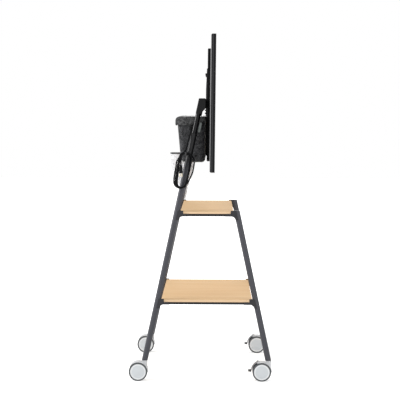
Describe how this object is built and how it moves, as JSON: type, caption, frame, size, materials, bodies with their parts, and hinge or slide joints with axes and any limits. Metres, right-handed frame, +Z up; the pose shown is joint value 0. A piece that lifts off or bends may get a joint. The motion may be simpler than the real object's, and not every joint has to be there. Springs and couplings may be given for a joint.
{
  "type": "audio visual cart",
  "caption": "Rolling display stand with leaning tube legs, two shelf boards, hooded twin-wheel casters, a lidded felt bag, a tapered cup and a mains lead on a hook.",
  "frame": {"origin": "on the floor under the middle of the outline", "axes": "+X to the front, where the screen faces; +Y to the cart left; +Z up"},
  "size_m": [0.768, 1.08, 1.8507],
  "materials": {
    "wheel_grey": "light grey polyurethane tread on a grey plastic wheel",
    "hood_grey": "satin moulded plastic",
    "axle_steel": "turned steel",
    "lever_grey": "satin moulded plastic",
    "leg_paint": "fine satin powder coat",
    "bracket_paint": "fine satin powder coat",
    "birch": "pale veneered board under matt lacquer",
    "zinc_steel": "bright zinc",
    "plug_plastic": "moulded plastic",
    "bar_paint": "fine satin powder coat",
    "display_black": "fine matt texture",
    "display_glass": "black coated cover glass",
    "panel_grey": "plain moulding",
    "felt": "pressed felt with a flecked surface",
    "clip_grey": "satin moulded plastic",
    "unit_black": "fine matt texture",
    "cup_white": "smooth moulding",
    "rim_black": "satin moulding",
    "cord_black": "soft matt sheath"
  },
  "bodies": {
    "frame": {"bag_body": "felt", "bag_clips": "clip_grey", "bag_tray": "bar_paint", "caster_stems": "zinc_steel", "cord_grommet": "rim_black", "cord_hank": "cord_black", "cord_hook": "rim_black", "crossbar": "bar_paint", "cup_rim": "rim_black", "display_glass": "display_glass", "display_housing": "display_black", "display_panel": "panel_grey", "foot_plugs": "plug_plastic", "front_leg_left": "leg_paint", "front_leg_right": "leg_paint", "hanging_cup": "cup_white", "leg_head_left": "bracket_paint", "leg_head_right": "bracket_paint", "lid_hinge": "zinc_steel", "lower_front_bracket_left": "bracket_paint", "lower_front_bracket_right": "bracket_paint", "lower_rear_bracket_left": "bracket_paint", "lower_rear_bracket_right": "bracket_paint", "lower_shelf_board": "birch", "lower_shelf_frame": "leg_paint", "mount_rail_left": "bar_paint", "mount_rail_right": "bar_paint", "power_lead": "cord_black", "power_plug": "cord_black", "power_unit": "unit_black", "rail_fasteners": "zinc_steel", "rear_housing": "display_black", "rear_leg_left": "leg_paint", "rear_leg_right": "leg_paint", "shelf_screws": "zinc_steel", "upper_front_bracket_left": "bracket_paint", "upper_front_bracket_right": "bracket_paint", "upper_rear_bracket_left": "bracket_paint", "upper_rear_bracket_right": "bracket_paint", "upper_shelf_board": "birch", "upper_shelf_frame": "leg_paint"},
    "rear_right_caster": {"rear_right_caster_hood": "hood_grey", "rear_right_axle": "axle_steel"},
    "rear_right_outer_wheel": {"rear_right_outer_wheel": "wheel_grey"},
    "rear_right_inner_wheel": {"rear_right_inner_wheel": "wheel_grey"},
    "rear_left_caster": {"rear_left_caster_hood": "hood_grey", "rear_left_axle": "axle_steel"},
    "rear_left_outer_wheel": {"rear_left_outer_wheel": "wheel_grey"},
    "rear_left_inner_wheel": {"rear_left_inner_wheel": "wheel_grey"},
    "front_right_caster": {"front_right_caster_hood": "hood_grey", "front_right_axle": "axle_steel"},
    "front_right_outer_wheel": {"front_right_outer_wheel": "wheel_grey"},
    "front_right_inner_wheel": {"front_right_inner_wheel": "wheel_grey"},
    "right_brake": {"right_brake_lever": "lever_grey"},
    "front_left_caster": {"front_left_caster_hood": "hood_grey", "front_left_axle": "axle_steel"},
    "front_left_outer_wheel": {"front_left_outer_wheel": "wheel_grey"},
    "front_left_inner_wheel": {"front_left_inner_wheel": "wheel_grey"},
    "left_brake": {"left_brake_lever": "lever_grey"},
    "lid": {"bag_lid": "felt"}
  },
  "joints": [
    {"name": "rear_right_swivel", "type": "hinge", "parent": "frame", "child": "rear_right_caster", "pos_m": [-0.299, -0.425, 0.08], "axis": [0, 0, 1], "continuous": true},
    {"name": "rear_right_outer_wheel_spin", "type": "hinge", "parent": "rear_right_caster", "child": "rear_right_outer_wheel", "pos_m": [-0.334, -0.425, 0.05], "axis": [0, 1, 0], "continuous": true},
    {"name": "rear_right_inner_wheel_spin", "type": "hinge", "parent": "rear_right_caster", "child": "rear_right_inner_wheel", "pos_m": [-0.334, -0.425, 0.05], "axis": [0, 1, 0], "continuous": true},
    {"name": "rear_left_swivel", "type": "hinge", "parent": "frame", "child": "rear_left_caster", "pos_m": [-0.299, 0.425, 0.08], "axis": [0, 0, 1], "continuous": true},
    {"name": "rear_left_outer_wheel_spin", "type": "hinge", "parent": "rear_left_caster", "child": "rear_left_outer_wheel", "pos_m": [-0.334, 0.425, 0.05], "axis": [0, 1, 0], "continuous": true},
    {"name": "rear_left_inner_wheel_spin", "type": "hinge", "parent": "rear_left_caster", "child": "rear_left_inner_wheel", "pos_m": [-0.334, 0.425, 0.05], "axis": [0, 1, 0], "continuous": true},
    {"name": "front_right_swivel", "type": "hinge", "parent": "frame", "child": "front_right_caster", "pos_m": [0.365, -0.425, 0.08], "axis": [0, 0, 1], "continuous": true},
    {"name": "front_right_outer_wheel_spin", "type": "hinge", "parent": "front_right_caster", "child": "front_right_outer_wheel", "pos_m": [0.33, -0.425, 0.05], "axis": [0, 1, 0], "continuous": true},
    {"name": "front_right_inner_wheel_spin", "type": "hinge", "parent": "front_right_caster", "child": "front_right_inner_wheel", "pos_m": [0.33, -0.425, 0.05], "axis": [0, 1, 0], "continuous": true},
    {"name": "right_brake", "type": "hinge", "parent": "front_right_caster", "child": "right_brake", "pos_m": [0.30682, -0.425, 0.10207], "axis": [0, -1, 0], "range_deg": [0, 5]},
    {"name": "front_left_swivel", "type": "hinge", "parent": "frame", "child": "front_left_caster", "pos_m": [0.365, 0.425, 0.08], "axis": [0, 0, 1], "continuous": true},
    {"name": "front_left_outer_wheel_spin", "type": "hinge", "parent": "front_left_caster", "child": "front_left_outer_wheel", "pos_m": [0.33, 0.425, 0.05], "axis": [0, 1, 0], "continuous": true},
    {"name": "front_left_inner_wheel_spin", "type": "hinge", "parent": "front_left_caster", "child": "front_left_inner_wheel", "pos_m": [0.33, 0.425, 0.05], "axis": [0, 1, 0], "continuous": true},
    {"name": "left_brake", "type": "hinge", "parent": "front_left_caster", "child": "left_brake", "pos_m": [0.30682, 0.425, 0.10207], "axis": [0, -1, 0], "range_deg": [0, 5]},
    {"name": "lid_hinge", "type": "hinge", "parent": "frame", "child": "lid", "pos_m": [-0.135, 0, 1.3705], "axis": [0, -1, 0], "range_deg": [0, 100]}
  ]
}
